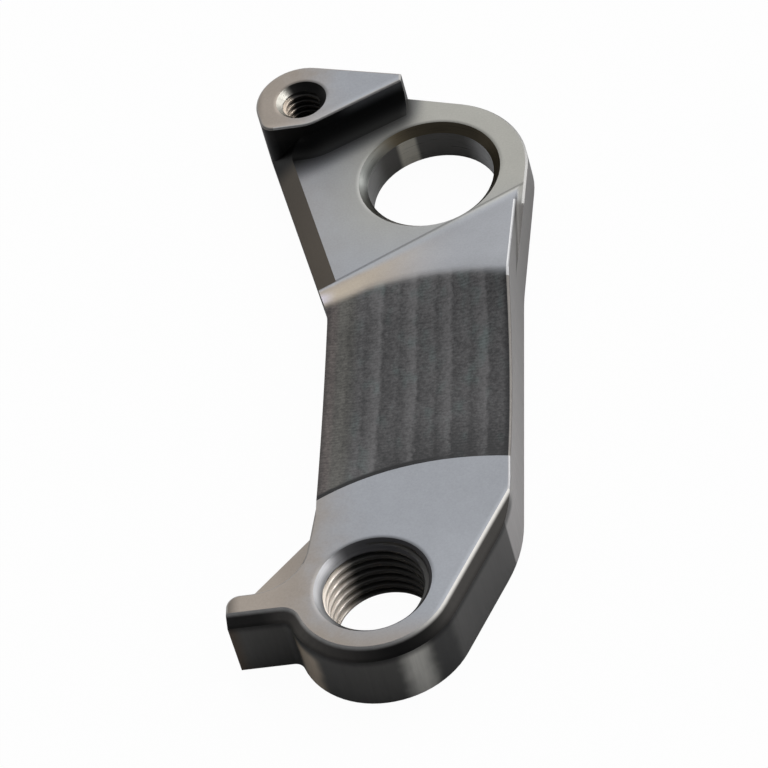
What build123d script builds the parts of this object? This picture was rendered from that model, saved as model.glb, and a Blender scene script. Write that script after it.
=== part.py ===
from build123d import *
import os
from math import acos, atan2, cos, degrees, radians, sin, sqrt, tan

# Bicycle derailleur hanger, milled from one piece of aluminium, in millimetres.
# The back face lies on Z = 0 and the outer face looks up. The origin is on the derailleur
# thread's axis. Y runs up the arm to the wheel axle, X to the right seen from outside.

# Heights above the back face
plate_thick = 7.0          # lower plate that carries the derailleur, and the screw boss
flange_thick = 4.0         # recessed floor round the wheel axle
blank_height = 9.6         # bar that the arm is milled from

# Derailleur thread, M10 x 1, and the round end about it
thread_minor_radius = 4.46
thread_lead_in = 0.84
thread_back_lead_in = 0.4
end_radius = 8.0
toe_angle = 25.0           # slanted edge from the round end to the arm's right wall
toe_corner_radius = 15.0

# Arm
arm_right = 12.2
arm_left = -5.3

# Wheel axle bore and the round flange about it
axle_x = 3.8
axle_y = 52.5
axle_bore_radius = 6.05
axle_lead_in = 0.75
axle_back_lead_in = 0.2
flange_ledge = 1.0         # how far the flange stands out past the arm's right wall
flare_drop = 14.5          # below the axle, where the arm's right wall opens out towards the flange
flare_radius = 30.0

# Fixing screw, M4, and its boss
screw_left = 11.95         # from the axle
screw_rise = 9.1
screw_minor_radius = 1.65
screw_lead_in = 0.8
screw_back_lead_in = 0.35
screw_boss_radius = 4.42
screw_wall_radius = 3.45   # boss wall that faces the axle
seat_radius = 10.0         # round the axle, kept clear by the boss wall
boss_end_x = 1.5
boss_back_radius = 9.85    # round the axle, met by the line of the boss's back
boss_foot_radius = 1.6
boss_corner_radius = 1.3   # between the boss wall and the left flank

# Left flank of the flange
flank_angle = 15.5
flank_bevel = 1.8
flank_foot_radius = 8.0

# Ramp from the floor up to the arm's crest
ramp_clearance = 0.05      # between the axle's lead-in and the foot of the ramp
ramp_turn = 28.5           # of the foot line, from X
ramp_slope = 18.5
ramp_foot_radius = 0.4
crest_radius = 3.0

# Milled hollow across the arm: heights of its three arcs at the low, middle and high stations
hollow_low_y = 6.0
hollow_mid_drop = 28.5     # below the axle
hollow_high_drop = 10.5
hollow_left_low = 7.35
hollow_left_mid = 5.55
hollow_left_high = 5.08
hollow_centre_low = 8.3
hollow_centre_mid = 6.0
hollow_centre_high = 6.64
hollow_right_low = 8.7
hollow_right_mid = 6.53
hollow_right_high = 12.6
hollow_overrun = 2.7       # past the arm's walls on each side

# Tab that the derailleur's tension screw bears on
tab_tip_x = -13.1
tab_low_y = -2.4
tab_top_y = 0.55
tab_foot_radius = 1.0
tab_corner_radius = 1.2
gusset_thick = 4.0         # web between the tab and the arm
gusset_tip_y = 1.0
gusset_root_y = 9.95
relief_radius = 5.0        # corner above the web, cleared for the screw's end
relief_taper = 7.5         # of the arm's edge, down from the web's root

# Edges
end_chamfer = 1.0
edge_break = 0.2
back_break = 0.3
flange_break_drop = 5.5    # below the axle, where the flange's broken edge starts beside the ramp
margin = 8.0               # how far cutters reach past the part
tiny = 0.01

# Places that follow from these
flange_radius = arm_right - axle_x + flange_ledge
axle = Vector(axle_x, axle_y)
screw = axle + Vector(-screw_left, screw_rise)
flare_start_y = axle_y - flare_drop
hollow_mid_y = axle_y - hollow_mid_drop
hollow_high_y = axle_y - hollow_high_drop
flange_break_y = axle_y - flange_break_drop


def along(angle):
    return Vector(cos(radians(angle)), sin(radians(angle)))


def bearing(v):
    return degrees(atan2(v.Y, v.X))


def meet(p, p_angle, q, q_angle):
    # Where two lines cross, each given by a point and a bearing
    d = along(p_angle)
    n = along(q_angle + 90)
    return p + d * ((q - p).dot(n) / d.dot(n))


def prism(points, low, high):
    return extrude(make_face(Polyline(*points, close=True)), high - low).moved(Pos(0, 0, low))


# Directions of the outline's tangent lines, as the bearing of each line's outward normal
toe_normal = -toe_angle
flare_foot = Vector(arm_right, flare_start_y)
flare_reach = (flare_foot - axle).length
flare_normal = bearing(flare_foot - axle) + degrees(acos(flange_radius / flare_reach))
span = screw - axle
top_normal = bearing(span) - degrees(acos((flange_radius - screw_boss_radius) / span.length))
back_normal = bearing(span) - degrees(acos((boss_back_radius - screw_boss_radius) / span.length))
flank_normal = 180 + flank_angle

# Corners of the outline, and how far the cutters reach
toe_low = along(toe_normal) * end_radius
toe_high = meet(toe_low, toe_normal + 90, Vector(arm_right, 0), 90)
flank_high = screw + along(flank_normal) * screw_boss_radius
flank_low = meet(flank_high, flank_normal + 90, Vector(arm_left, 0), 90)
boss_corner = meet(flank_high, flank_normal + 90, screw - Vector(0, screw_wall_radius), 0)
tab_foot = Vector(-sqrt(end_radius ** 2 - tab_low_y ** 2), tab_low_y)
tab_foot_bearing = bearing(tab_foot) % 360
far_left = tab_tip_x - margin
far_right = axle_x + flange_radius + margin
far_top = screw.Y + screw_boss_radius + margin


def round_end():
    return CenterArc((0, 0), end_radius, tab_foot_bearing, 360 + toe_normal - tab_foot_bearing)


def soften(face, corner, radius):
    return fillet(face.vertices().sort_by_distance(corner)[0], radius)


def outline():
    right = Line(toe_low, toe_high)
    wall = Line(toe_high, flare_foot)
    flare = Line(flare_foot, axle + along(flare_normal) * flange_radius)
    flange = CenterArc(axle, flange_radius, flare_normal, top_normal - flare_normal)
    shelf_start = axle + along(top_normal) * flange_radius
    back_end = screw + along(back_normal) * screw_boss_radius
    top = Polyline(
        shelf_start,
        meet(shelf_start, top_normal + 90, Vector(boss_end_x, 0), 90),
        meet(back_end, back_normal + 90, Vector(boss_end_x, 0), 90),
        back_end,
    )
    boss = CenterArc(screw, screw_boss_radius, back_normal, flank_normal - back_normal)
    sides = Polyline(
        flank_high,
        flank_low,
        Vector(arm_left, gusset_root_y),
        Vector(tab_tip_x, gusset_tip_y),
        Vector(tab_tip_x, tab_low_y),
        tab_foot,
    )
    face = make_face([right, wall, flare, flange, *top.edges(), boss, *sides.edges(), round_end()])
    face = soften(face, toe_high, toe_corner_radius)
    face = soften(face, flare_foot, flare_radius)
    face = soften(face, flank_low, flank_foot_radius)
    return soften(face, tab_foot, tab_foot_radius)


def end_form():
    # Chamfered along the toe, the round end and the tab's underside, and open past the arm
    toe_far = meet(toe_low, toe_normal + 90, Vector(far_right, 0), 90)
    rim = Polyline(
        tab_foot,
        Vector(far_left, tab_low_y),
        Vector(far_left, far_top),
        Vector(far_right, far_top),
        toe_far,
        toe_low,
    )
    face = soften(make_face([round_end(), *rim.edges()]), tab_foot, tab_foot_radius)
    form = extrude(face, plate_thick)
    upper = form.edges().filter_by_position(Axis.Z, plate_thick, plate_thick)
    return chamfer(upper.sort_by_distance((0, 0, plate_thick))[0:4], end_chamfer)


# The ramp starts on a line that just clears the axle bore's lead-in
uphill = ramp_turn - 90
ramp_foot = axle + along(uphill) * (axle_bore_radius + axle_lead_in + ramp_clearance)
ramp_left = meet(ramp_foot, ramp_turn, Vector(far_left, 0), 90)
ramp_right = meet(ramp_foot, ramp_turn, Vector(arm_right, 0), 90)


def bar_reach():
    # Thicker bar between the hollow's middle and the ramp's foot
    corners = [ramp_left, Vector(far_left, hollow_mid_y), Vector(arm_right, hollow_mid_y), ramp_right]
    return prism(corners, 0, blank_height)


def above_ramp():
    tilt = radians(ramp_slope)
    plane = Plane(
        origin=(ramp_foot.X, ramp_foot.Y, flange_thick),
        x_dir=along(ramp_turn),
        z_dir=along(uphill) * -sin(tilt) + Vector(0, 0, cos(tilt)),
    )
    reach = far_top - hollow_mid_y
    return plane * Box(2 * reach, reach, reach, align=(Align.CENTER, Align.MAX, Align.MIN))


def above_hollow():
    # Lofted through three arcs that lie along the arm, at its left wall, middle and right wall
    top = blank_height + margin
    middle = (arm_left + arm_right) / 2
    stations = (
        (arm_left - hollow_overrun, hollow_left_low, hollow_left_mid, hollow_left_high),
        (middle, hollow_centre_low, hollow_centre_mid, hollow_centre_high),
        (arm_right + hollow_overrun, hollow_right_low, hollow_right_mid, hollow_right_high),
    )
    sections = []
    for x, low, mid, high in stations:
        a = Vector(x, hollow_low_y, low)
        b = Vector(x, hollow_mid_y, mid)
        c = Vector(x, hollow_high_y, high)
        roof = Polyline(c, Vector(x, hollow_high_y, top), Vector(x, hollow_low_y, top), a)
        sections.append(make_face([ThreePointArc(a, b, c), *roof.edges()]))
    return loft(sections)


def flange_area():
    # Plan of the floor, from the ramp's foot up to the line of the boss wall
    wall_normal = bearing(span) - degrees(acos((seat_radius + screw_wall_radius) / span.length))
    turn_start = screw - Vector(0, screw_wall_radius)
    turn_end = screw - along(wall_normal) * screw_wall_radius
    corner_reach = boss_corner_radius * tan(radians(270 - flank_normal) / 2)
    corner_low = boss_corner + Vector(corner_reach, 0)
    corner_high = boss_corner + along(flank_normal - 90) * corner_reach
    rim = Polyline(
        turn_end,
        meet(turn_end, wall_normal - 90, Vector(far_right, 0), 90),
        Vector(far_right, hollow_mid_y),
        Vector(arm_right, hollow_mid_y),
        ramp_right,
        ramp_left,
        Vector(far_left, corner_high.Y),
        corner_high,
    )
    corner_middle = corner_low + Vector(0, boss_corner_radius)
    corner = CenterArc(corner_middle, boss_corner_radius, flank_normal, 270 - flank_normal)
    wall = Line(corner_low, turn_start)
    turn = CenterArc(screw, screw_wall_radius, 270, wall_normal - 90)
    return make_face([corner, wall, turn, *rim.edges()])


def flank_wedge():
    # Bevel along the left flank, through the boss wall's foot and down to its own depth
    depth = flange_thick - flank_bevel
    plane = Plane(
        origin=flank_high,
        x_dir=along(flank_angle),
        z_dir=along(flank_normal + 90),
    )
    wedge = plane * make_face(
        Polyline(
            (flank_bevel + boss_foot_radius, flange_thick + boss_foot_radius),
            (-depth, flange_thick - flank_bevel - depth),
            (-depth, flange_thick + boss_foot_radius),
            close=True,
        )
    )
    return extrude(wedge, (flank_high - flank_low).length, both=True)


def flange_pocket():
    # Floor with rounded feet at the boss wall and the ramp's side, the boss's end and the flank's bevel
    area = flange_area()
    pocket = extrude(area, blank_height).moved(Pos(0, 0, flange_thick))
    ramp_side = pocket.edges().sort_by_distance((arm_right, flare_start_y, flange_thick))[0]
    pocket = fillet(ramp_side, ramp_foot_radius)
    boss_side = pocket.edges().sort_by_distance((screw.X, screw.Y, flange_thick))[0:4]
    pocket = fillet(boss_side, boss_foot_radius)
    past_boss = [
        Vector(boss_end_x, axle_y),
        Vector(far_right, axle_y),
        Vector(far_right, far_top),
        Vector(boss_end_x, far_top),
    ]
    pocket += prism(past_boss, flange_thick, flange_thick + blank_height)
    return pocket + (flank_wedge() & extrude(area, flange_thick + boss_foot_radius))


def tab_relief():
    # Corner over the web, open to the tab's top and the arm's left wall
    root = Vector(arm_left, gusset_root_y)
    corner = meet(root, 90 - relief_taper, Vector(0, tab_top_y), 0)
    area = make_face(
        Polyline(Vector(far_left, tab_top_y), corner, root, Vector(far_left, gusset_root_y), close=True)
    )
    area = soften(area, corner, relief_radius)
    return extrude(area, blank_height).moved(Pos(0, 0, gusset_thick))


def drill(centre, radius, top, lead_in, back_lead_in):
    # Through hole with a 45 degree lead-in at both faces
    section = Polyline(
        (0, -margin),
        (radius + back_lead_in + margin, -margin),
        (radius, back_lead_in),
        (radius, top - lead_in),
        (radius + lead_in + margin, top + margin),
        (0, top + margin),
        close=True,
    )
    return Pos(centre.X, centre.Y) * revolve(Plane.XZ * make_face(section), Axis.Z)


def flange_break(profile):
    # Edge of the flange, broken from the ledge beside the ramp round to the boss's end
    low = flange_thick - edge_break
    kept = extrude(profile, edge_break, taper=45).moved(Pos(0, 0, low))
    reach = [
        Vector(boss_end_x, flange_break_y),
        Vector(far_right, flange_break_y),
        Vector(far_right, far_top),
        Vector(boss_end_x, far_top),
    ]
    return prism(reach, low, flange_thick) - kept


def milled_arm(profile):
    # Plate and bar with the hollow and the ramp, rounded where these meet in the crest
    blank = extrude(profile, blank_height)
    blank = chamfer(blank.faces().sort_by(Axis.Z)[0].edges(), back_break)
    body = (blank & end_form()) + (blank & bar_reach())
    body = body - above_hollow() - above_ramp()
    over_crest = ((arm_left + arm_right) / 2, flare_start_y, blank_height)
    return fillet(body.edges().sort_by_distance(over_crest)[0], crest_radius)


def plate_rim(body):
    # Where the plate's and the boss's top faces end over an upright wall
    walls = body.faces().filter_by(lambda f: abs(f.normal_at().Z) < tiny and f.center().Z < plate_thick)
    tops = body.faces().filter_by(Plane.XY)
    tops = tops.filter_by_position(Axis.Z, plate_thick - tiny, plate_thick + tiny)
    below = walls.edges()
    return ShapeList(e for e in tops.edges() if e in below)


def break_edges(body):
    body = fillet(plate_rim(body).filter_by_position(Axis.Y, axle_y, far_top), edge_break)
    tab_side = plate_rim(body).filter_by_position(Axis.X, far_left, arm_left - tiny)
    body = fillet(tab_side.filter_by_position(Axis.Y, tab_low_y, axle_y), edge_break)
    wall = body.faces().filter_by(Plane.YZ).sort_by_distance((arm_right, hollow_mid_y, 0))[0]
    upper = wall.edges().filter_by_position(Axis.Z, flange_thick + ramp_foot_radius, blank_height)
    return fillet(upper, edge_break)


def hanger():
    profile = outline()
    body = milled_arm(profile) - flange_pocket() - flange_break(profile) - tab_relief()
    tip = body.edges().filter_by(Axis.Z).sort_by_distance((tab_tip_x, tab_top_y, plate_thick))[0]
    body = break_edges(fillet(tip, tab_corner_radius))
    body -= drill(Vector(0, 0), thread_minor_radius, plate_thick, thread_lead_in, thread_back_lead_in)
    body -= drill(axle, axle_bore_radius, flange_thick, axle_lead_in, axle_back_lead_in)
    body -= drill(screw, screw_minor_radius, plate_thick, screw_lead_in, screw_back_lead_in)
    return body


os.makedirs("parts", exist_ok=True)
export_step(hanger(), "parts/hanger.step")
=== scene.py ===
import math

import bpy
from mathutils import Matrix, Vector


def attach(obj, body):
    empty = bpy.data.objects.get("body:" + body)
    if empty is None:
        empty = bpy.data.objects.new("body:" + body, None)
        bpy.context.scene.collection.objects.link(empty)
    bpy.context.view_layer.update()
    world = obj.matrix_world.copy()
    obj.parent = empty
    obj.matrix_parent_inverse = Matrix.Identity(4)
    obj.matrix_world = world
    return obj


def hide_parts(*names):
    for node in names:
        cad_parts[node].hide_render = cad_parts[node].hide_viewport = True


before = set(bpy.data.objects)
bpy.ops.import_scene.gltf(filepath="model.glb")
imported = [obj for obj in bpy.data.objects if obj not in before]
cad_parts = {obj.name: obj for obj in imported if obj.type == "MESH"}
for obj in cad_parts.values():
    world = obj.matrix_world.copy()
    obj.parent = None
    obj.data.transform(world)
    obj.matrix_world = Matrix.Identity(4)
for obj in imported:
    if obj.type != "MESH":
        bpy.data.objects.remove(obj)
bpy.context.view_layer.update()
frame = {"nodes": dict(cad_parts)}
scene = bpy.context.scene
scene.view_settings.view_transform = "Standard"
mm = 0.001
print("frame loaded:", ", ".join(frame["nodes"]))


class Wire:
    # one socket of a node tree: sums written on it add Math nodes
    def __init__(self, tree, socket=None):
        self.tree = tree
        self.socket = socket

    def node(self, kind, settings, sockets, out=0):
        made = self.tree.nodes.new("ShaderNode" + kind)
        for name, value in settings.items():
            setattr(made, name, value)
        for key, value in sockets.items():
            if isinstance(value, Wire):
                self.tree.links.new(value.socket, made.inputs[key])
            else:
                made.inputs[key].default_value = value
        return Wire(self.tree, made.outputs[out] if len(made.outputs) else None)

    def maths(self, operation, a, b=0.0):
        return self.node("Math", {"operation": operation}, {0: a, 1: b})

    def __add__(self, other):
        return self.maths("ADD", self, other)

    def __radd__(self, other):
        return self.maths("ADD", other, self)

    def __sub__(self, other):
        return self.maths("SUBTRACT", self, other)

    def __rsub__(self, other):
        return self.maths("SUBTRACT", other, self)

    def __mul__(self, other):
        return self.maths("MULTIPLY", self, other)

    def __rmul__(self, other):
        return self.maths("MULTIPLY", other, self)

    def __truediv__(self, other):
        return self.maths("DIVIDE", self, other)

    def __rtruediv__(self, other):
        return self.maths("DIVIDE", other, self)

    def rise(self, low, high):  # 0 up to low, 1 from high on, soft between
        return self.node("MapRange", {"interpolation_type": "SMOOTHSTEP"}, {0: self, 1: low, 2: high})

    def blend(self, under, over):  # colours, by this share of the second
        return self.node("Mix", {"data_type": "RGBA"}, {0: self, 6: under, 7: over}, 2)

    def shade(self, colour):  # the colour made lighter or darker by this number
        plain = colour if isinstance(colour, Wire) else colour[:3]
        return self.node("VectorMath", {"operation": "SCALE"}, {0: plain, "Scale": self})

    def axes(self):  # of a place
        return {axis: self.node("SeparateXYZ", {}, {0: self}, axis.upper()) for axis in "xyz"}


def srgb(red, green, blue):
    shares = [c / 255 for c in (red, green, blue)]
    return tuple(c / 12.92 if c < 0.04045 else ((c + 0.055) / 1.055) ** 2.4 for c in shares) + (1.0,)


def placeInMm(start):  # on the piece itself
    metres = start.node("TexCoord", {}, {}, "Object")
    return start.node("VectorMath", {"operation": "SCALE"}, {0: metres, "Scale": 1 / mm})


drift = (1.0, 0.7, 0.3)  # the way in which a shift moves the noise


def grain(place, perMm, detail=2.0, rough=0.5, shift=0.0):
    # noise about 0, with its own number of grains per mm along X, Y and Z
    moved = place.node("VectorMath", {"operation": "MULTIPLY_ADD"},
                       {0: place, 1: perMm, 2: tuple(shift * way for way in drift)})
    cloud = place.node("TexNoise", {}, {"Vector": moved, "Scale": 1.0, "Detail": detail, "Roughness": rough})
    return cloud - 0.5


def zones(measures, limits):
    # shares from 0 to 1, by name: soft steps over or under each pair of limits,
    # inside an earlier zone where one is named
    made = {}
    for name, limit in limits.items():
        share = made[limit["in"]] if "in" in limit else 1.0
        for side, span in limit.items():
            if side.endswith("Over"):
                share = share * measures[side.removesuffix("Over")].rise(*span)
            elif side.endswith("Under"):
                share = share * (1.0 - measures[side.removesuffix("Under")].rise(*span))
        made[name] = share
    return made


def total(at, amounts):  # each zone's share times its amount
    return sum((at[name] * amount for name, amount in amounts.items()), 0.0)


def painted(colour, at, tones):  # each tone laid over the colour where its zone is
    for name, tone in tones.items():
        colour = at[name].blend(colour, tone)
    return colour


def metal(name, paint, look):
    made = bpy.data.materials.new(name)
    made.use_nodes = True
    tree = made.node_tree
    tree.nodes.clear()
    start = Wire(tree)
    colour, rough, height = paint(placeInMm(start), look)
    normal = start.node("Bump", {}, {"Strength": 1.0, "Distance": look["bump"] * mm, "Height": height})
    skin = start.node("BsdfPrincipled", {}, {
        "Base Color": colour, "Roughness": rough, "Metallic": look["metallic"], "Normal": normal})
    start.node("OutputMaterial", {}, {0: skin})
    return made


# finishes of the one milled piece, with painted light and shade in many of their colours, and every place in
# mm

eyeAt = (0.0, 0.0)
screwAt = (-8.15, 61.6)
axleAt = (3.8, 52.5)
bossFoot = ((-6.62, 58.51), (0.443, -0.897))  # point on the slanted wall under the screw boss, and its facing
deepShadow = srgb(13, 13, 12)


def aroundHole(x, y, at):  # distance from a hole's middle, and the shares of it that lie left and up
    offX, offY = x - at[0], y - at[1]
    square = offX * offX + offY * offY
    off = square.maths("SQRT", square)
    return off, 0.0 - offX / off, offY / off


def along(x, y, line):  # distance from a line, given by a point on it and the way to count
    (px, py), (wayX, wayY) = line
    return (x - px) * wayX + (y - py) * wayY


satinLook = {
    "cool": srgb(156, 159, 165), "warm": srgb(152, 143, 134), "flange": srgb(158, 157, 151),
    # spot is a painted highlight, halfShadow a painted half-shadow
    "tan": srgb(153, 142, 125), "spot": srgb(172, 168, 177), "halfShadow": srgb(78, 82, 91),
    # painted shade on the ledge beside the ramp, and its foot painted lighter against the shade in its crease
    "ledge": srgb(106, 104, 102), "ledgeFoot": srgb(150, 148, 145),
    "rough": 0.42, "metallic": 0.75, "bump": 0.004,
    "fine": {"perMm": (5.5, 5.5, 5.5), "detail": 3.0, "rough": 0.6},
    "cloud": {"perMm": (0.5, 0.42, 0.4), "detail": 3.0, "rough": 0.55, "shift": 3.1},
    "pits": {"perMm": (7.0, 7.0, 7.0)},
    "fineTone": 0.3, "cloudTone": 0.12, "fineRough": 0.12,
    "rampStart": ((7.07, 46.48), (0.477, -0.879)),
    "slant": ((0.0, 0.0), (0.905, -0.426)),  # from the eye to the slanted edge on its right
    "bossLeftY": 58.15,  # left of the slant, the boss ends here
    "topSpan": (52.0, 58.0), "topShift": 2.0, "ragged": 5.0,  # how far the warm left reaches
    # clear and lip are out from the boss, upSquare is from the ramp, ragged is X with a loose edge
    "zones": {
        "front": {"zOver": (2.0, 3.5)},  # the flat back stays plain
        "left": {"raggedUnder": (-10.0, 0.5)},
        "toe": {"yUnder": (-8.0, -2.5)},
        "lowLeft": {"xUnder": (-10.0, -7.0), "yUnder": (2.0, 8.0)},
        "lowRight": {"xOver": (3.0, 7.0), "yUnder": (2.0, 8.0)},
        # painted shade over the tab's end
        "tabEnd": {"in": "front", "xUnder": (-13.3, -11.7)},
        # painted highlight along the plate's edge right of the eye
        "worn": {"in": "front", "slantOver": (6.5, 7.05), "yUnder": (10.0, 14.0)},
        # painted highlight at the ramp's left end
        "spot": {"in": "front", "xUnder": (-6.2, -4.4), "yOver": (35.8, 36.8), "yUnder": (37.4, 38.8)},
        "ramp": {"yOver": (34.0, 36.0), "yUnder": (50.0, 52.0), "zOver": (4.05, 4.6)},
        "rampTan": {"in": "ramp", "xUnder": (-5.0, 4.0)},
        "rampCool": {"in": "ramp", "xOver": (-6.0, 9.0)},
        "rampRight": {"in": "ramp", "xOver": (-3.0, 10.0)},
        "rampLine": {"in": "front", "upSquareUnder": (0.001, 0.05), "zUnder": (4.06, 4.14)},  # at its start, where a painted crease shade lies
        # the ledge beside the ramp, where painted shade goes
        "ledge": {"in": "front", "xOver": (11.9, 12.1), "yOver": (30.0, 36.0), "yUnder": (46.6, 48.0),
                  "zUnder": (4.4, 4.6)},
        "ledgeFoot": {"zOver": (4.14, 4.24)},
        "flat": {"in": "front", "yOver": (36.0, 40.0), "zUnder": (4.03, 4.3)},
        "flange": {"in": "flat", "yOver": (38.0, 52.0)},
        "flangeTone": {"in": "flange", "xOver": (-9.0, 0.0)},
        "flangeRight": {"in": "flange", "xOver": (-6.0, 6.0)},
        # where the painted shadow of the screw boss lies on the flange
        "gloom": {"in": "front", "clearUnder": (0.2, 3.9), "xUnder": (0.6, 3.6), "yOver": (48.0, 53.0),
                  "zUnder": (4.6, 5.6)},
        "boss": {"yOver": (50.0, 55.0), "zOver": (6.7, 6.9)},
        # painted highlight along the boss's rim
        "bossRim": {"in": "boss", "lipOver": (-0.9, -0.2)},
    },
    "warmth": {"ramp": 1.1, "rampCool": -1.0, "toe": 0.8}, "flatCool": 0.6,
    "tanShare": 0.7, "halfShare": 1.8, "gloomShare": 0.97,
    # lighter or darker: painted shade at the tab's end, painted crease shade where the ramp starts, painted
    # highlights on the boss's rim and right of the eye, and tone along the ramp, the flange and the plate's
    # low ends
    "sheen": {"lowLeft": 0.14, "lowRight": 0.084, "tabEnd": -0.8, "worn": 0.36,
              "ramp": 0.2, "rampRight": -0.46, "rampLine": -0.42,
              "flange": 0.02, "flangeRight": 0.12, "boss": -0.05, "bossRim": 0.2},
    # painted light and shade round the edge of each hole
    "rims": {"holes": ((eyeAt, 5.3), (axleAt, 6.8), (screwAt, 2.45)), "soft": 0.1, "wide": 0.4,
             "lit": 0.5, "litFrom": (0.6, 1.0), "dark": 0.6, "darkFrom": (-0.1, 0.9), "darkTurn": 0.3},
}


def rimPaintedLightAndShade(x, y, rims):  # painted highlight on the left of each hole's edge, painted shade above it
    sheen = 0.0
    for at, radius in rims["holes"]:
        off, left, above = aroundHole(x, y, at)
        edge = off.rise(radius - rims["soft"], radius) * (1.0 - off.rise(radius, radius + rims["wide"]))
        lit = left.rise(*rims["litFrom"]) * rims["lit"]
        dark = (above - left * rims["darkTurn"]).rise(*rims["darkFrom"]) * rims["dark"]
        sheen = sheen + edge * (lit - dark)
    return sheen


def satinFace(place, look):
    axes = place.axes()
    x, y = axes["x"], axes["y"]
    fine = grain(place, **look["fine"])
    cloud = grain(place, **look["cloud"])
    clear = along(x, y, bossFoot)
    up = along(x, y, look["rampStart"])
    at = zones({
        **axes,
        "clear": clear,
        "lip": clear.maths("MAXIMUM", clear, look["bossLeftY"] - y),
        "upSquare": up * up,
        "slant": along(x, y, look["slant"]),
        "ragged": x + y.rise(*look["topSpan"]) * look["topShift"] + cloud * look["ragged"],
    }, look["zones"])
    warmth = at["left"] * (1.0 - at["flat"] * look["flatCool"]) + total(at, look["warmth"])
    colour = warmth.rise(0.0, 1.0).blend(look["cool"], look["warm"])
    colour = at["flangeTone"].blend(colour, look["flange"])
    colour = (at["rampTan"] * look["tanShare"]).blend(colour, look["tan"])
    # painted shade on the ledge, painted lighter at its foot
    colour = at["ledge"].blend(colour, at["ledgeFoot"].blend(look["ledge"], look["ledgeFoot"]))
    # painted highlight at the ramp's left end
    colour = at["spot"].blend(colour, look["spot"])
    # painted shadow of the screw boss on the flange, with a bluish painted half-shadow at its edge
    gloom = at["gloom"]
    colour = (gloom * (1.0 - gloom) * look["halfShare"]).blend(colour, look["halfShadow"])
    colour = (gloom * look["gloomShare"]).blend(colour, deepShadow)
    # painted light and shade, and tone, over the satin colour
    sheen = 1.0 + total(at, look["sheen"]) + rimPaintedLightAndShade(x, y, look["rims"]) * at["front"]
    tone = (1.0 + fine * look["fineTone"] + cloud * look["cloudTone"]) * sheen
    return tone.shade(colour), look["rough"] + fine * look["fineRough"], grain(place, **look["pits"])


armLook = {
    # line is the colour of the painted shadow lines along the hollow's edges
    "light": srgb(104, 103, 104), "dark": srgb(40, 40, 41), "line": srgb(20, 20, 22),
    "rough": 0.38, "mottleRough": 0.15, "metallic": 0.75,
    "bump": 0.01, "ridgeHeight": 0.5, "markHeight": 0.12, "mottleHeight": 0.4,
    "lane": 1.667, "start": 0.886, "feed": 0.36,  # width of a pass, where one starts, length of a feed mark
    "bend": {"perMm": (0.3, 0.12, 0.0), "detail": 1.0, "shift": 1.3}, "bendBy": 0.25,
    "fray": {"perMm": (2.2, 0.9, 0.0), "detail": 3.0, "rough": 0.6, "shift": 4.7}, "frayBy": 0.45,
    "patchy": {"perMm": (0.7, 0.35, 0.0), "shift": 7.9},
    "mottle": {"perMm": (3.0, 3.0, 0.0), "detail": 5.0, "rough": 0.75, "shift": 2.2},
    "scallopEnd": (0.7, 1.0), "feedLuck": 3.0, "feedBow": 1.4,
    "crest": (37.6, 0.042, -0.0237),  # Y where the cutter breaks out: c0 + c1 x + c2 x x
    "crestDrop": 0.45, "crestRagged": 0.6, "crestSoft": (-1.0, 0.85),
    "dimAbove": (-3.5, -0.3), "dim": 0.12,  # painted shade on the ramp just above the crest
    "base": 0.33, "ridge": 0.85, "backRidge": 0.5, "endRidge": 0.65, "laneLuck": 0.12,
    "mark": 0.06, "patchMark": 0.3, "mottled": 2.5, "patched": 0.5, "toneSpan": (-0.6, 1.6),
    "zones": {
        "leftLane": {"xUnder": (-3.4, -2.2)},
        "right": {"xOver": (4.0, 9.0)},
        "low": {"yUnder": (13.5, 20.0)},
        "lowRight": {"in": "low", "xOver": (-2.0, 3.0)},
        "middle": {"xOver": (-5.0, -3.9), "xUnder": (3.5, 7.0), "yOver": (14.0, 20.0)},
        "middleTop": {"in": "middle", "yOver": (31.0, 35.0)},
        "teal": {"patchyOver": (0.0, 0.25)},
        "olive": {"xUnder": (-3.3, -1.9)},
        "brown": {"xUnder": (-4.7, -3.9)},
        # painted shadow lines along the hollow's edges
        "rightLine": {"xOver": (11.2, 12.0)},
        "leftLine": {"xUnder": (-5.2, -4.7)},
        "lowLine": {"xUnder": (2.0, 10.0), "yUnder": (18.0, 20.0), "zOver": (6.9, 6.95)},
        "crestLeft": {"xUnder": (-4.5, -0.5)},
        "dimRight": {"xOver": (-3.5, 0.5)},
    },
    "tone": {"leftLane": 0.2, "right": -0.15, "low": -0.08, "lowRight": -0.6,
             "middle": -0.24, "middleTop": 0.192},
    "tints": {"teal": (0.9, (0.87, 1.04, 1.01, 1.0)), "olive": (1.0, (1.0, 0.99, 0.89, 1.0)),
              "brown": (1.0, (1.1, 0.97, 0.9, 1.0))},
    "lines": {"rightLine": 0.6, "leftLine": 0.45, "lowLine": 0.95},
}


def cutterPasses(place, axes, look):
    # each pass has its scallop, runs forth or back, and has its own luck and feed marks
    wander = grain(place, **look["bend"]) * look["bendBy"] + grain(place, **look["fray"]) * look["frayBy"]
    across = axes["x"] / look["lane"] + look["start"] + wander
    share = across.maths("FRACT", across)
    lane = across - share
    back = lane.maths("FLOORED_MODULO", lane, 2.0)  # every other pass runs back
    luck = lane.node("TexWhiteNoise", {"noise_dimensions": "1D"}, {"W": lane})
    scallop = share * (1.0 - share.rise(*look["scallopEnd"]))
    feed = axes["y"] / look["feed"] + luck * look["feedLuck"] + share * (1.0 - share) * look["feedBow"]
    return scallop, back, luck, feed.maths("SINE", feed * (2 * math.pi))


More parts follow.
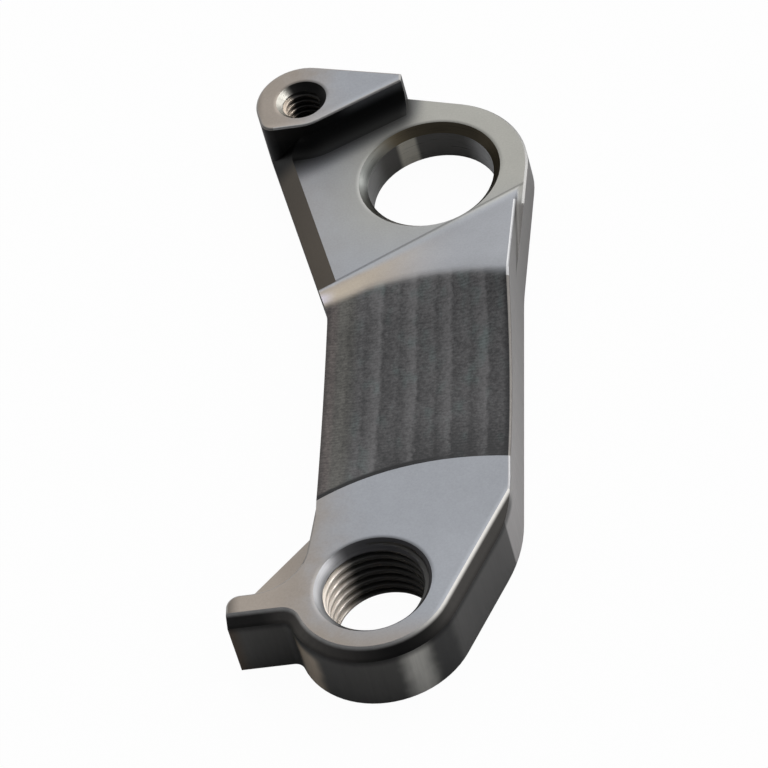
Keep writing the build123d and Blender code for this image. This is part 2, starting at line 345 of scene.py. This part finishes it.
def milledArm(place, look):
    axes = place.axes()
    scallop, back, luck, feed = cutterPasses(place, axes, look)
    patchy = grain(place, **look["patchy"])
    mottle = grain(place, **look["mottle"])
    at = zones({**axes, "patchy": patchy}, look["zones"])
    ridges = scallop * (look["ridge"] - back * look["backRidge"]) * (1.0 - at["leftLane"] * look["endRidge"])
    marks = feed * (look["mark"] + patchy * look["patchMark"])
    clouds = mottle * look["mottled"] + patchy * look["patched"]
    tone = look["base"] + ridges + (luck - 0.5) * look["laneLuck"] + marks + clouds + total(at, look["tone"])
    tint = (1.0, 1.0, 1.0, 1.0)
    for name, (share, stain) in look["tints"].items():
        tint = (at[name] * share).blend(tint, stain)
    colour = tone.rise(*look["toneSpan"]).blend(look["dark"], look["light"])
    colour = colour.node("VectorMath", {"operation": "MULTIPLY"}, {0: colour, 1: tint})
    # painted shadow lines along the hollow's edges
    for name, share in look["lines"].items():
        colour = (at[name] * share).blend(colour, look["line"])
    c0, c1, c2 = look["crest"]
    x, y = axes["x"], axes["y"]
    inside = x * (x * c2 + c1) + c0 - y + mottle * look["crestRagged"] - at["crestLeft"] * look["crestDrop"]
    cut = inside.rise(*look["crestSoft"])
    satin = satinFace(place, satinLook)[0]
    # painted shade on the ramp just above the crest
    satin = (1.0 - inside.rise(*look["dimAbove"]) * at["dimRight"] * look["dim"]).shade(satin)
    height = scallop * look["ridgeHeight"] + feed * look["markHeight"] + mottle * look["mottleHeight"]
    return cut.blend(satin, colour), look["rough"] + mottle * look["mottleRough"], cut * height


# the walls' tones are painted light and shade: the front walls dark, the right side light, darker beside the
# ramp, with painted glints and a painted shade band round the toe
wallLook = {
    "front": srgb(99, 98, 95), "side": srgb(217, 214, 212), "sideHigh": srgb(172, 170, 167),
    "rampSide": srgb(96, 94, 92),
    # painted glints and a painted shade band round the toe's wall
    "tones": {"toe": srgb(119, 118, 116), "glint": srgb(220, 218, 210), "warmGlint": srgb(240, 222, 198),
              "gloom": srgb(84, 84, 83), "tabEnd": srgb(100, 88, 76)},
    "rough": 0.36, "metallic": 0.6, "bump": 0.004,
    "lines": {"perMm": (3.0, 3.0, 0.2), "detail": 3.0, "rough": 0.6}, "lineTone": 0.3, "lineRough": 0.12,
    "ragged": {"perMm": (0.6, 0.6, 0.6), "shift": 5.2}, "raggedBy": 0.1,
    "zones": {  # turn is the angle round the derailleur eye
        "toe": {"xOver": (5.6, 7.6)},
        "below": {"yUnder": (-3.4, -2.0)},
        "glint": {"in": "below", "turnOver": (-1.36, -1.12), "turnUnder": (-1.1, -0.8)},
        "warmGlint": {"in": "below", "turnOver": (-2.8, -2.6), "turnUnder": (-2.45, -2.2),
                      "zUnder": (4.2, 5.4)},
        "gloom": {"in": "below", "turnOver": (-0.98, -0.8), "turnUnder": (-0.62, -0.48)},
        "tabEnd": {"xUnder": (-13.1, -11.8), "yUnder": (2.0, 4.0)},
        # the right side's walls painted lighter, less so higher up
        "side": {"xOver": (8.0, 10.0), "yOver": (6.0, 6.25)},
        "sideHigh": {"yOver": (8.0, 56.0)},
        "rampSide": {"xOver": (11.5, 12.0), "yOver": (42.0, 46.0), "zOver": (4.0, 4.05)},  # over the flange, painted darker
        # where the painted shadow under the bevel lies
        "toeLip": {"yUnder": (-1.6, -0.6)},
        "rightLip": {"xOver": (5.0, 6.5), "yUnder": (8.0, 9.5)},
        "underBevel": {"zOver": (5.15, 5.95)},
    },
    "lipShade": 0.66,
}


def cutWall(place, look):
    axes = place.axes()
    x, y = axes["x"], axes["y"]
    lines = grain(place, **look["lines"])
    turn = y.maths("ARCTAN2", y, x) + grain(place, **look["ragged"]) * look["raggedBy"]
    at = zones({**axes, "turn": turn}, look["zones"])
    # painted light and shade on the walls, by side and by angle round the eye
    side = at["sideHigh"].blend(look["side"], look["sideHigh"])
    colour = painted(look["front"], at, {**look["tones"], "side": side, "rampSide": look["rampSide"]})
    # painted shadow under the bevel
    lip = at["underBevel"] * x.maths("MAXIMUM", at["toeLip"], at["rightLip"])
    tone = (1.0 + lines * look["lineTone"]) * (1.0 - lip * look["lipShade"])
    return tone.shade(colour), look["rough"] + lines * look["lineRough"], lines


bevelLook = {
    # the bevel's tones are painted reflection and shade: lighter at the toe, dark in the middle
    "tab": srgb(70, 68, 66), "rim": srgb(240, 237, 232),
    "tones": {"toe": srgb(113, 109, 104), "deep": srgb(44, 43, 42), "right": srgb(70, 68, 66)},
    "flank": srgb(96, 88, 78),
    "rough": 0.36, "metallic": 0.9, "bump": 0.003,
    "lines": {"perMm": (2.4, 2.4, 2.4), "detail": 3.0, "rough": 0.6}, "lineTone": 0.25, "lineRough": 0.1,
    "zones": {
        "toe": {"xOver": (-10.3, -7.6)},
        "deep": {"xOver": (-5.0, 2.6)},
        "right": {"xOver": (4.2, 7.4)},
        "low": {"zUnder": (6.05, 6.3)},
        "flank": {"yOver": (20.0, 30.0)},
        "nearBoss": {"yOver": (44.0, 55.0)},
        "atBoss": {"yOver": (54.6, 57.2)},
        "rim": {"yUnder": (20.0, 30.0), "zOver": (6.66, 6.94)},  # painted highlight on the upper edge
        "rimRight": {"in": "rim", "xOver": (4.0, 8.0)},
    },
    "lowShadow": 0.35,
    "bossShadow": {"nearBoss": 0.25, "atBoss": 0.75},
    "rimLight": {"rim": 0.8, "rimRight": 0.2},
}


def cutBevel(place, look):
    lines = grain(place, **look["lines"])
    at = zones(place.axes(), look["zones"])
    # painted reflection and shade along the bevel, painted shadow at its foot and beside the boss, a painted
    # highlight on its upper edge
    colour = painted(look["tab"], at, look["tones"])
    colour = (at["low"] * look["lowShadow"]).blend(colour, deepShadow)
    colour = at["flank"].blend(colour, look["flank"])
    colour = total(at, look["bossShadow"]).blend(colour, deepShadow)
    colour = total(at, look["rimLight"]).blend(colour, look["rim"])
    return (1.0 + lines * look["lineTone"]).shade(colour), look["rough"] + lines * look["lineRough"], lines


# the boss wall's painted shadow, lighter at its open end and near its top
bossLook = {
    "metallic": 0.75, "bump": 0.004,
    "zones": {
        "gloom": {"clearUnder": (0.2, 4.0)},
        "openEnd": {"in": "gloom", "xOver": (0.6, 3.6), "zUnder": (4.2, 5.0)},
        "glow": {"xOver": (-5.0, -2.5), "zOver": (5.5, 6.8)},  # painted light near the top's edge
    },
    "shadow": {"gloom": 0.97, "openEnd": -0.97, "glow": -0.4},
}


def bossWall(place, look):
    axes = place.axes()
    satin, rough, height = satinFace(place, satinLook)
    at = zones({**axes, "clear": along(axes["x"], axes["y"], bossFoot)}, look["zones"])
    # painted shadow over the satin face
    return total(at, look["shadow"]).blend(satin, deepShadow), rough, height


# lit, half-lit and shaded edge tones: painted light and shade, chosen by which way an edge faces
edgeLook = {"wear": {"perMm": (1.2, 1.2, 1.2), "detail": 3.0, "rough": 0.6},
            "wearTone": 0.4, "wearRough": 0.15, "bump": 0.002}
litEdgeLook = {**edgeLook, "tone": srgb(192, 192, 193), "rough": 0.34, "metallic": 0.85}
halfLitEdgeLook = {**edgeLook, "tone": srgb(178, 177, 175), "rough": 0.38, "metallic": 0.8}
shadedEdgeLook = {**edgeLook, "tone": srgb(140, 136, 132), "rough": 0.42, "metallic": 0.8}


def brokenEdge(place, look):
    wear = grain(place, **look["wear"])
    return (1.0 + wear * look["wearTone"]).shade(look["tone"]), look["rough"] + wear * look["wearRough"], wear


holeLook = {"rings": {"perMm": (0.35, 0.35, 11.0), "rough": 0.6}, "ringTone": 0.35, "ringRough": 0.15,
            "cloud": {"perMm": (0.5, 0.5, 0.5), "shift": 6.1}, "cloudTone": 0.2, "ragged": 0.15,
            "innerFrom": (0.4, 0.9), "innerShade": 0.6}
# lit and shade are the painted light and painted shade in each hole
eyeLeadInLook = {**holeLook, "at": eyeAt, "lit": srgb(182, 182, 184), "shade": srgb(90, 89, 90),
                 "span": (0.5, 0.85), "inner": 4.65, "outer": 5.15, "rough": 0.42, "metallic": 0.9,
                 "bump": 0.005}
eyeThreadLook = {**holeLook, "at": eyeAt, "lit": srgb(250, 240, 228), "shade": srgb(56, 55, 52),
                 "span": (0.45, 0.9), "rough": 0.34, "metallic": 0.2, "bump": 0.003}
screwLeadInLook = {**holeLook, "at": screwAt, "lit": srgb(200, 197, 188), "shade": srgb(44, 43, 42),
                   "span": (0.45, 0.95), "rough": 0.38, "metallic": 0.9, "bump": 0.005}
screwThreadLook = {**holeLook, "at": screwAt, "lit": srgb(226, 210, 192), "shade": srgb(42, 40, 38),
                   "span": (0.55, 1.05), "rough": 0.34, "metallic": 0.4, "bump": 0.003}
axleLeadInLook = {**holeLook, "at": axleAt, "lit": srgb(130, 132, 129), "shade": srgb(110, 101, 83),
                  "span": (0.48, 0.98), "inner": 6.1, "outer": 6.65, "rough": 0.3, "metallic": 1.0,
                  "bump": 0.005}


def ringsAndPaintedLight(place, look):  # turned rings, with painted light on the left of each hole and painted shade on the rest
    axes = place.axes()
    rings = grain(place, **look["rings"])
    cloud = grain(place, **look["cloud"])
    off, left = aroundHole(axes["x"], axes["y"], look["at"])[:2]
    colour = (left + cloud * look["ragged"]).rise(*look["span"]).blend(look["shade"], look["lit"])
    tone = 1.0 + rings * look["ringTone"] + cloud * look["cloudTone"]
    if "inner" in look:  # painted shade towards the hole
        inner = 1.0 - off.rise(look["inner"], look["outer"])
        tone = tone - inner * left.rise(*look["innerFrom"]) * look["innerShade"]
    return tone.shade(colour), look["rough"] + rings * look["ringRough"], rings


boreLook = {
    # painted glints round the axle bore, over its tone
    "tone": srgb(105, 103, 99),
    "tones": {"glint": srgb(222, 217, 202), "rightGlint": srgb(240, 240, 238),
              "leftGlint": srgb(170, 170, 168)},
    "rings": {"perMm": (0.35, 0.35, 9.0), "rough": 0.6}, "ringTone": 0.35, "ringRough": 0.15,
    "zones": {  # turn is the angle round the axle
        "glint": {"turnOver": (1.8, 1.88), "turnUnder": (2.1, 2.2)},
        "rightGlint": {"turnOver": (-0.4, 0.2), "turnUnder": (0.5, 1.1)},
        "leftGlint": {"leftOver": (0.75, 1.0)},
    },
    "rough": 0.3, "metallic": 0.2, "bump": 0.005,
}


def axleBore(place, look):
    axes = place.axes()
    rings = grain(place, **look["rings"])
    left, above = aroundHole(axes["x"], axes["y"], axleAt)[1:]
    at = zones({"left": left, "turn": left.maths("ARCTAN2", above, 0.0 - left)}, look["zones"])
    # painted glints
    colour = painted(look["tone"], at, look["tones"])
    return (1.0 + rings * look["ringTone"]).shade(colour), look["rough"] + rings * look["ringRough"], rings


finishKinds = {
    "satinFace": (satinFace, satinLook),
    "milledArm": (milledArm, armLook),
    "cutWall": (cutWall, wallLook),
    "cutBevel": (cutBevel, bevelLook),
    "bossWall": (bossWall, bossLook),
    "litEdge": (brokenEdge, litEdgeLook),
    "halfLitEdge": (brokenEdge, halfLitEdgeLook),
    "shadedEdge": (brokenEdge, shadedEdgeLook),
    "eyeLeadIn": (ringsAndPaintedLight, eyeLeadInLook),
    "eyeThread": (ringsAndPaintedLight, eyeThreadLook),
    "screwLeadIn": (ringsAndPaintedLight, screwLeadInLook),
    "screwThread": (ringsAndPaintedLight, screwThreadLook),
    "axleLeadIn": (ringsAndPaintedLight, axleLeadInLook),
    "axleBore": (axleBore, boreLook),
}
finishes = {name: metal(name, paint, look) for name, (paint, look) in finishKinds.items()}
print("finishes made:", len(finishes))


# the hanger: the CAD surfaces, with real ridges cut into both threaded holes

hangerLook = {  # mm, with columns round each hole and rows to a pitch
    "eye": {"at": eyeAt, "minor": 4.46, "major": 5.0, "pitch": 1.0, "front": 5.3, "back": 4.86,
            "columns": 120, "rows": 14},
    "screw": {"at": screwAt, "minor": 1.65, "major": 2.0, "pitch": 0.7, "front": 2.45, "back": 2.0,
              "columns": 60, "rows": 12},
    "faceHeight": 7.0,  # outer face of the eye and of the screw boss
    "rootHalf": 0.07, "flank": 0.3,  # shares of a pitch
    "endGap": 0.02,  # from each face to the first row of points
    "ringWithin": (0.002, 0.03),  # height and radius, for points on the edge of a hole
    "startAngle": 0.001, "angleStep": 0.02, "heightStep": 0.6,  # radians, and a share of a row
    "sort": {  # what tells one CAD surface from another, with facings as shares of a unit normal
        "upright": 0.1, "level": 0.9, "trueLevel": 0.9995, "backEdgeTop": 0.31,
        "centreWithin": 0.3, "reach": 1.5, "axleRadius": 7.0,
        "bossFacing": -0.4, "bossFromY": 56.0, "bossOverZ": 5.0, "bossFootZ": 6.5,
        "bevelFacing": 0.65, "bevelArea": 2.4, "bevelTall": 0.95, "bevelToY": 40.0, "bevelToX": 12.15,
        "ledgeZ": (3.9, 4.7), "hollowY": (13.0, 35.0),
        "edgeFacing": 0.2, "brightOverZ": 4.1, "brightToY": 50.0, "softFacing": -0.5, "softFromY": 57.0,
    },
}


def cadSurfaces(mesh):
    # groups the faces by the CAD surface that they came from
    lead = list(range(len(mesh.vertices)))

    def first(k):
        while lead[k] != k:
            lead[k] = lead[lead[k]]
            k = lead[k]
        return k

    for face in mesh.polygons:
        for v in face.vertices[1:]:
            lead[first(v)] = first(face.vertices[0])
    groups = {}
    for face in mesh.polygons:
        groups.setdefault(first(face.vertices[0]), []).append(face)
    return list(groups.values())


def measure(mesh, faces):
    corners = [mesh.vertices[v].co / mm for face in faces for v in face.vertices]
    low = Vector(min(c[k] for c in corners) for k in range(3))
    high = Vector(max(c[k] for c in corners) for k in range(3))
    area = sum(face.area for face in faces)
    facing = sum((face.normal * face.area for face in faces), Vector()) / area
    return {"low": low, "high": high, "area": area / mm / mm, "facing": facing}


def centredOn(size, at, radius, sort):
    middle = (size["low"] + size["high"]) / 2
    wide = (size["high"] - size["low"]).xy.length / 2
    return (middle.xy - Vector(at)).length < sort["centreWithin"] and wide < radius * sort["reach"]


def isBevel(size, sort):
    low, high, facing = size["low"], size["high"], size["facing"]
    return (facing.z > sort["upright"] and facing.x < sort["bevelFacing"] and size["area"] > sort["bevelArea"]
            and high.z - low.z > sort["bevelTall"] and low.y < sort["bevelToY"] and high.x < sort["bevelToX"])


def isBossWall(size, sort):
    low, high, facing = size["low"], size["high"], size["facing"]
    return (facing.y < sort["bossFacing"] and low.y > sort["bossFromY"]
            and high.z > sort["bossOverZ"] and low.z < sort["bossFootZ"])


def edgeFor(size, sort):
    low, high, facing = size["low"], size["high"], size["facing"]
    alongHollow = low.y > sort["hollowY"][0] and high.y < sort["hollowY"][1]
    # painted highlight on edges facing right, painted shade on the rest
    if facing.x > sort["edgeFacing"] and not alongHollow:
        return "litEdge" if high.z > sort["brightOverZ"] and high.y < sort["brightToY"] else "halfLitEdge"
    return "halfLitEdge" if facing.y < sort["softFacing"] and low.y > sort["softFromY"] else "shadedEdge"


def finishFor(size, sort):
    low, high, facing = size["low"], size["high"], size["facing"]
    for name in ("eye", "screw"):
        if centredOn(size, hangerLook[name]["at"], hangerLook[name]["front"], sort):
            return None  # the ridged hole takes its place
    if centredOn(size, axleAt, sort["axleRadius"], sort):
        return "axleBore" if abs(facing.z) < sort["upright"] else "axleLeadIn"
    if high.z < sort["backEdgeTop"]:
        return "satinFace" if facing.z < -sort["level"] else "shadedEdge"
    if facing.z > sort["level"]:  # the ramp, its crest and the hollow lean
        return "milledArm" if facing.z < sort["trueLevel"] else "satinFace"
    if isBossWall(size, sort):
        return "bossWall"
    if isBevel(size, sort):
        return "cutBevel"
    if abs(facing.z) < sort["upright"]:
        return "cutWall"
    if low.z > sort["ledgeZ"][0] and high.z < sort["ledgeZ"][1]:
        return "satinFace"
    return edgeFor(size, sort)


def threadRadius(hole, angle, height):
    # a V ridge with a flat top and a narrow root, opened by the lead-in at each end
    turn = (height / hole["pitch"] - angle / (2 * math.pi)) % 1.0
    share = min(1.0, max(0.0, (abs(turn - 0.5) - hangerLook["rootHalf"]) / hangerLook["flank"]))
    ridge = hole["major"] - (hole["major"] - hole["minor"]) * share * share * (3 - 2 * share)
    cone = max(hole["front"] - (hangerLook["faceHeight"] - height), hole["back"] - height)
    return (cone, "LeadIn") if cone > ridge else (ridge, "Thread")


def zipRings(lower, upper):
    # triangles between two rings of (angle, number), which may have different counts
    made, i, j = [], 0, 0
    turn = 2 * math.pi
    while i < len(lower) or j < len(upper):
        nextLow = lower[(i + 1) % len(lower)][0] + turn * ((i + 1) // len(lower))
        nextHigh = upper[(j + 1) % len(upper)][0] + turn * ((j + 1) // len(upper))
        a, b = lower[i % len(lower)][1], upper[j % len(upper)][1]
        if j >= len(upper) or (i < len(lower) and nextLow <= nextHigh):
            i += 1
            made.append((a, b, lower[i % len(lower)][1]))
        else:
            j += 1
            made.append((a, b, upper[j % len(upper)][1]))
    return made


class Shell:
    # gathers points, faces, their finishes and a normal for each corner
    def __init__(self):
        self.points, self.faces, self.finish, self.normals, self.known = [], [], [], [], {}

    def point(self, co):
        key = tuple(round(c * 1e7) for c in co)  # points within 0.1 micron are one
        if key not in self.known:
            self.known[key] = len(self.points)
            self.points.append(Vector(co))
        return self.known[key]

    def face(self, corners, finish, normals):
        if len(set(corners)) == len(corners):
            self.faces.append(corners)
            self.finish.append(finish)
            self.normals += normals

    def ringAt(self, at, height, radius):  # (angle, number) of each point on the edge of a hole
        near, nearRadius = hangerLook["ringWithin"]
        ring = []
        for k, point in enumerate(self.points):
            out = point.xy / mm - Vector(at)
            if abs(point.z / mm - height) < near and abs(out.length - radius) < nearRadius:
                ring.append((math.atan2(out.y, out.x), k))
        return sorted(ring)


def addCad(shell, mesh):
    count = {}
    for faces in cadSurfaces(mesh):
        finish = finishFor(measure(mesh, faces), hangerLook["sort"])
        count[finish] = count.get(finish, 0) + 1
        if finish is None:
            continue
        for face in faces:
            corners = [shell.point(mesh.vertices[v].co) for v in face.vertices]
            shell.face(corners, finish, [mesh.corner_normals[k].vector.copy() for k in face.loop_indices])
    print("CAD surfaces by finish:", count)


def addThread(shell, name):
    hole, top, gap = hangerLook[name], hangerLook["faceHeight"], hangerLook["endGap"]
    at = hole["at"]
    backRing = shell.ringAt(at, 0.0, hole["back"])
    frontRing = shell.ringAt(at, top, hole["front"])
    step = hole["pitch"] / hole["rows"]
    heights = [gap + step * k for k in range(int((top - 2 * gap) / step) + 1)] + [top - gap]
    firstAngle = hangerLook["startAngle"] - math.pi
    angles = [2 * math.pi * k / hole["columns"] + firstAngle for k in range(hole["columns"])]
    tilt, rowShare = hangerLook["angleStep"], step * hangerLook["heightStep"]

    def spot(angle, height):
        radius = threadRadius(hole, angle, height)[0]
        return Vector((at[0] + radius * math.cos(angle), at[1] + radius * math.sin(angle), height))

    def inward(angle, height):
        low, high = max(0.0, height - rowShare), min(top, height + rowShare)
        upward = spot(angle, high) - spot(angle, low)
        around = spot(angle + tilt, height) - spot(angle - tilt, height)
        return upward.cross(around).normalized()

    rows = [[(a, shell.point(spot(a, h) * mm)) for a in angles] for h in heights]
    normal = {k: inward(a, h) for h, row in zip(heights, rows) for a, k in row}
    for h, below, above in zip(heights, rows, rows[1:]):
        for k in range(len(angles)):
            n = (k + 1) % len(angles)
            corners = [below[k][1], above[k][1], above[n][1], below[n][1]]
            finish = threadRadius(hole, angles[k] + math.pi / hole["columns"], h + step / 2)[1]
            shell.face(corners, name + finish, [normal[c] for c in corners])
    for lower, upper, lean in ((backRing, rows[0], -1.0), (rows[-1], frontRing, 1.0)):
        for corners in zipRings(lower, upper):
            lip = []
            for c in corners:
                out = (shell.points[c].xy / mm - Vector(at)).normalized()
                lip.append(Vector((-out.x, -out.y, lean)).normalized())
            shell.face(list(corners), name + "LeadIn", lip)
    print(name, "thread cut with", len(rows) * len(angles), "points")


shell = Shell()
addCad(shell, frame["nodes"]["hanger"].data)
addThread(shell, "eye")
addThread(shell, "screw")

hangerMesh = bpy.data.meshes.new("milledHanger")
hangerMesh.from_pydata(shell.points, [], shell.faces)
for finish in finishes.values():
    hangerMesh.materials.append(finish)
hangerMesh.polygons.foreach_set("material_index", [list(finishes).index(f) for f in shell.finish])
hangerMesh.polygons.foreach_set("use_smooth", [True] * len(shell.faces))
hangerMesh.normals_split_custom_set(shell.normals)
hangerMesh.update()
hanger = bpy.data.objects.new("milledHanger", hangerMesh)
scene.collection.objects.link(hanger)
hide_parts("hanger")
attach(hanger, "root")
print("hanger made:", len(shell.faces), "faces")


# floor, light and camera

# shaded is the floor's painted shade near the hanger, seen by all but camera rays
floorLook = {"half": 4.0, "tone": (0.93, 0.93, 0.93, 1.0), "shaded": (0.45, 0.45, 0.46, 1.0), "glow": 0.97,
             "near": 12.0, "far": 60.0}  # half in metres, near and far in mm from the hanger's middle line


def makeFloor(look):
    half = look["half"]
    corners = [(-half, -half, 0), (half, -half, 0), (half, half, 0), (-half, half, 0)]
    mesh = bpy.data.meshes.new("studioFloor")
    mesh.from_pydata(corners, [], [(0, 1, 2, 3)])
    floor = bpy.data.objects.new("studioFloor", mesh)
    scene.collection.objects.link(floor)
    paper = bpy.data.materials.new("paleFloor")
    paper.use_nodes = True
    paper.node_tree.nodes.clear()
    start = Wire(paper.node_tree)
    camera = start.node("LightPath", {}, {}, "Is Camera Ray")
    glossy = start.node("LightPath", {}, {}, "Is Glossy Ray")
    through = start.node("LightPath", {}, {}, "Is Transmission Ray")
    axes = placeInMm(start).axes()
    share = start.node("Clamp", {}, {0: axes["y"] / axleAt[1]})  # 0 beside the eye, 1 beside the axle
    offX, offY = axes["x"] - share * axleAt[0], axes["y"] - share * axleAt[1]
    square = offX * offX + offY * offY
    far = square.maths("SQRT", square).rise(look["near"], look["far"])
    # painted shade on the floor near the hanger, seen in the metal's reflections and in bounced light
    tone = camera.blend(far.blend(look["shaded"], look["tone"]), look["tone"])
    matt = start.node("BsdfDiffuse", {}, {"Color": tone})
    glow = start.node("Emission", {}, {"Color": (1.0, 1.0, 1.0, 1.0), "Strength": 1.0})
    shown = (camera + (glossy + through) * far).rise(0.0, 1.0) * look["glow"]
    start.node("OutputMaterial", {}, {0: start.node("MixShader", {}, {0: shown, 1: matt, 2: glow})})
    mesh.materials.append(paper)


lightLook = {
    "dome": {"bright": (1.0, 1.0, 1.0, 1.0), "dim": (0.1, 0.105, 0.115, 1.0), "lean": (0.35, 0.85, 0.3),
             "from": -0.3, "to": 0.7, "level": 1.1},
    "lamps": {  # metres, watts and degrees
        "backBox": {"towards": (-0.1, 0.95, 0.3), "away": 0.75, "size": (0.6, 0.25), "watts": 0.5,
                    "aim": (0.0, 0.03, 0.0), "spread": 180.0},
        "edgeStrip": {"towards": (0.72, 0.674, 0.16), "away": 0.6, "size": (0.1, 0.4), "watts": 0.25,
                      "aim": (0.0, 0.03, 0.0), "spread": 180.0},
        "eyeBox": {"towards": (0.7, 0.1, 0.7), "away": 0.25, "size": (0.008, 0.008), "watts": 0.00006,
                   "aim": (-0.0045, -0.0005, 0.0045), "spread": 1.5},
        "screwBox": {"towards": (0.7, 0.1, 0.7), "away": 0.25, "size": (0.004, 0.004), "watts": 0.00002,
                     "aim": (-0.0095, 0.0613, 0.0055), "spread": 1.0},
    },
}


def makeDome(dome):
    world = bpy.data.worlds.new("studioDome")
    world.use_nodes = True
    world.node_tree.nodes.clear()
    start = Wire(world.node_tree)
    way = start.node("TexCoord", {}, {}, "Generated")
    lean = start.node("VectorMath", {"operation": "DOT_PRODUCT"}, {0: way, 1: dome["lean"]}, "Value")
    colour = lean.rise(dome["from"], dome["to"]).blend(dome["dim"], dome["bright"])
    sky = start.node("Background", {}, {"Color": colour, "Strength": dome["level"]})
    start.node("OutputWorld", {}, {0: sky})
    scene.world = world


def makeLamp(name, lamp):
    light = bpy.data.lights.new(name, "AREA")
    light.shape = "RECTANGLE"
    light.size, light.size_y = lamp["size"]
    light.energy = lamp["watts"]
    light.spread = math.radians(lamp["spread"])
    holder = bpy.data.objects.new(name, light)
    towards = Vector(lamp["towards"]).normalized()
    holder.location = Vector(lamp["aim"]) + towards * lamp["away"]
    holder.rotation_mode = "QUATERNION"
    holder.rotation_quaternion = towards.to_track_quat("Z", "Y")
    scene.collection.objects.link(holder)


cameraLook = {"at": (76.882, -298.559, 351.529), "right": (0.979586, 0.017832, -0.200233),
              "up": (0.122121, 0.738408, 0.663205), "lens": 248.44, "sensor": 36.0,
              "clip": (0.01, 20.0)}  # mm, with clip in metres


def makeCamera(look):
    lens = bpy.data.cameras.new("photoCamera")
    lens.sensor_width = look["sensor"]
    lens.lens = look["lens"]
    lens.clip_start, lens.clip_end = look["clip"]
    camera = bpy.data.objects.new("photoCamera", lens)
    right, up = Vector(look["right"]), Vector(look["up"])
    turn = Matrix((right, up, right.cross(up))).transposed().to_4x4()
    camera.matrix_world = Matrix.Translation(Vector(look["at"]) * mm) @ turn
    scene.collection.objects.link(camera)
    scene.camera = camera


makeFloor(floorLook)
makeDome(lightLook["dome"])
for lampName, lamp in lightLook["lamps"].items():
    makeLamp(lampName, lamp)
makeCamera(cameraLook)
print("floor, light and camera made")
